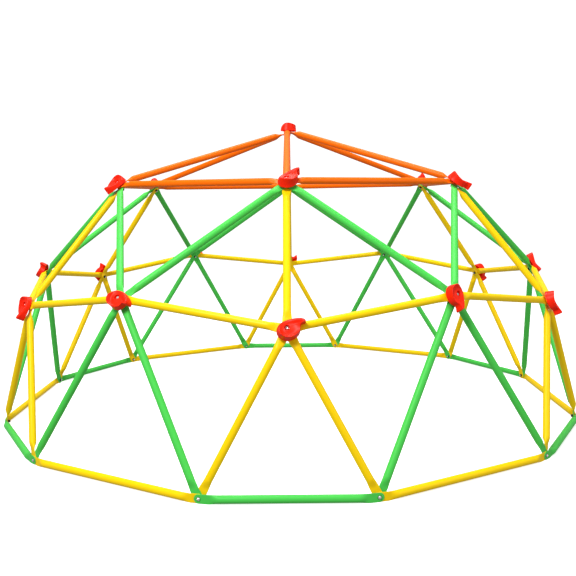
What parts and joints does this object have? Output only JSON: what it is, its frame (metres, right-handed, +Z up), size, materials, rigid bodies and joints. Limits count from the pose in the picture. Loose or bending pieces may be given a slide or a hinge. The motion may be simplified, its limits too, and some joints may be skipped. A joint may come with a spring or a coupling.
{
  "type": "dome climber",
  "caption": "Geodesic climbing dome for children, of bolted steel tubes pressed flat at their ends, with moulded hand grips on its upper hubs.",
  "frame": {"origin": "centre of the base circle, on the ground", "axes": "+Z up; -Y towards the front, where a short green base tube and the hub above it face; +X to the right"},
  "size_m": [2.9706, 3.0282, 1.5547],
  "materials": {
    "orange_steel": "gloss powder coat",
    "green_steel": "gloss powder coat",
    "yellow_steel": "gloss powder coat",
    "red_plastic": "moulded, satin gloss",
    "zinc_steel": "bright zinc plated"
  },
  "bodies": {
    "frame": {"base_bolts": "zinc_steel", "crown_strut_1": "orange_steel", "crown_strut_2": "orange_steel", "crown_strut_3": "orange_steel", "crown_strut_4": "orange_steel", "crown_strut_5": "orange_steel", "crown_strut_6": "orange_steel", "hub_bolts": "zinc_steel", "lock_nuts": "zinc_steel", "lower_green_struts_1": "green_steel", "lower_green_struts_2": "green_steel", "lower_green_struts_3": "green_steel", "lower_green_struts_4": "green_steel", "lower_green_struts_5": "green_steel", "lower_green_struts_6": "green_steel", "lower_yellow_struts_1": "yellow_steel", "lower_yellow_struts_2": "yellow_steel", "lower_yellow_struts_3": "yellow_steel", "lower_yellow_struts_4": "yellow_steel", "lower_yellow_struts_5": "yellow_steel", "lower_yellow_struts_6": "yellow_steel", "middle_yellow_struts_1": "yellow_steel", "middle_yellow_struts_2": "yellow_steel", "middle_yellow_struts_3": "yellow_steel", "middle_yellow_struts_4": "yellow_steel", "middle_yellow_struts_5": "yellow_steel", "middle_yellow_struts_6": "yellow_steel", "upper_green_struts_1": "green_steel", "upper_green_struts_2": "green_steel", "upper_green_struts_3": "green_steel", "upper_green_struts_4": "green_steel", "upper_green_struts_5": "green_steel", "upper_green_struts_6": "green_steel", "upper_ring_strut_1": "orange_steel", "upper_ring_strut_2": "orange_steel", "upper_ring_strut_3": "orange_steel", "upper_ring_strut_4": "orange_steel", "upper_ring_strut_5": "orange_steel", "upper_ring_strut_6": "orange_steel", "washers": "zinc_steel"},
    "apex_grip": {"apex_grip": "red_plastic"},
    "low_grip_1": {"low_grip_1": "red_plastic"},
    "low_grip_2": {"low_grip_2": "red_plastic"},
    "low_grip_3": {"low_grip_3": "red_plastic"},
    "low_grip_4": {"low_grip_4": "red_plastic"},
    "low_grip_5": {"low_grip_5": "red_plastic"},
    "low_grip_6": {"low_grip_6": "red_plastic"},
    "mid_grip_1": {"mid_grip_1": "red_plastic"},
    "mid_grip_2": {"mid_grip_2": "red_plastic"},
    "mid_grip_3": {"mid_grip_3": "red_plastic"},
    "mid_grip_4": {"mid_grip_4": "red_plastic"},
    "mid_grip_5": {"mid_grip_5": "red_plastic"},
    "mid_grip_6": {"mid_grip_6": "red_plastic"},
    "upper_grip_1": {"upper_grip_1": "red_plastic"},
    "upper_grip_2": {"upper_grip_2": "red_plastic"},
    "upper_grip_3": {"upper_grip_3": "red_plastic"},
    "upper_grip_4": {"upper_grip_4": "red_plastic"},
    "upper_grip_5": {"upper_grip_5": "red_plastic"},
    "upper_grip_6": {"upper_grip_6": "red_plastic"}
  },
  "joints": [
    {"name": "apex_grip_turn", "type": "hinge", "parent": "frame", "child": "apex_grip", "pos_m": [0, 0, 1.494], "axis": [0, 0, 1], "continuous": true},
    {"name": "low_grip_1_turn", "type": "hinge", "parent": "frame", "child": "low_grip_1", "pos_m": [0, -1.40105, 0.64837], "axis": [0, -0.9122, 0.4098], "continuous": true},
    {"name": "low_grip_2_turn", "type": "hinge", "parent": "frame", "child": "low_grip_2", "pos_m": [1.21334, -0.70052, 0.64837], "axis": [0.79, -0.4561, 0.4098], "continuous": true},
    {"name": "low_grip_3_turn", "type": "hinge", "parent": "frame", "child": "low_grip_3", "pos_m": [1.21334, 0.70052, 0.64837], "axis": [0.79, 0.4561, 0.4098], "continuous": true},
    {"name": "low_grip_4_turn", "type": "hinge", "parent": "frame", "child": "low_grip_4", "pos_m": [0, 1.40105, 0.64837], "axis": [0, 0.9122, 0.4098], "continuous": true},
    {"name": "low_grip_5_turn", "type": "hinge", "parent": "frame", "child": "low_grip_5", "pos_m": [-1.21334, 0.70052, 0.64837], "axis": [-0.79, 0.4561, 0.4098], "continuous": true},
    {"name": "low_grip_6_turn", "type": "hinge", "parent": "frame", "child": "low_grip_6", "pos_m": [-1.21334, -0.70052, 0.64837], "axis": [-0.79, -0.4561, 0.4098], "continuous": true},
    {"name": "mid_grip_1_turn", "type": "hinge", "parent": "frame", "child": "mid_grip_1", "pos_m": [0.67606, -1.17097, 0.73798], "axis": [0.4415, -0.7646, 0.4695], "continuous": true},
    {"name": "mid_grip_2_turn", "type": "hinge", "parent": "frame", "child": "mid_grip_2", "pos_m": [1.35211, 0, 0.73798], "axis": [0.8829, 0, 0.4695], "continuous": true},
    {"name": "mid_grip_3_turn", "type": "hinge", "parent": "frame", "child": "mid_grip_3", "pos_m": [0.67606, 1.17097, 0.73798], "axis": [0.4415, 0.7646, 0.4695], "continuous": true},
    {"name": "mid_grip_4_turn", "type": "hinge", "parent": "frame", "child": "mid_grip_4", "pos_m": [-0.67606, 1.17097, 0.73798], "axis": [-0.4415, 0.7646, 0.4695], "continuous": true},
    {"name": "mid_grip_5_turn", "type": "hinge", "parent": "frame", "child": "mid_grip_5", "pos_m": [-1.35211, 0, 0.73798], "axis": [-0.8829, 0, 0.4695], "continuous": true},
    {"name": "mid_grip_6_turn", "type": "hinge", "parent": "frame", "child": "mid_grip_6", "pos_m": [-0.67606, -1.17097, 0.73798], "axis": [-0.4415, -0.7646, 0.4695], "continuous": true},
    {"name": "upper_grip_1_turn", "type": "hinge", "parent": "frame", "child": "upper_grip_1", "pos_m": [0, -0.944, 1.206], "axis": [0, -0.6224, 0.7827], "continuous": true},
    {"name": "upper_grip_2_turn", "type": "hinge", "parent": "frame", "child": "upper_grip_2", "pos_m": [0.81753, -0.472, 1.206], "axis": [0.539, -0.3112, 0.7827], "continuous": true},
    {"name": "upper_grip_3_turn", "type": "hinge", "parent": "frame", "child": "upper_grip_3", "pos_m": [0.81753, 0.472, 1.206], "axis": [0.539, 0.3112, 0.7827], "continuous": true},
    {"name": "upper_grip_4_turn", "type": "hinge", "parent": "frame", "child": "upper_grip_4", "pos_m": [0, 0.944, 1.206], "axis": [0, 0.6224, 0.7827], "continuous": true},
    {"name": "upper_grip_5_turn", "type": "hinge", "parent": "frame", "child": "upper_grip_5", "pos_m": [-0.81753, 0.472, 1.206], "axis": [-0.539, 0.3112, 0.7827], "continuous": true},
    {"name": "upper_grip_6_turn", "type": "hinge", "parent": "frame", "child": "upper_grip_6", "pos_m": [-0.81753, -0.472, 1.206], "axis": [-0.539, -0.3112, 0.7827], "continuous": true}
  ]
}
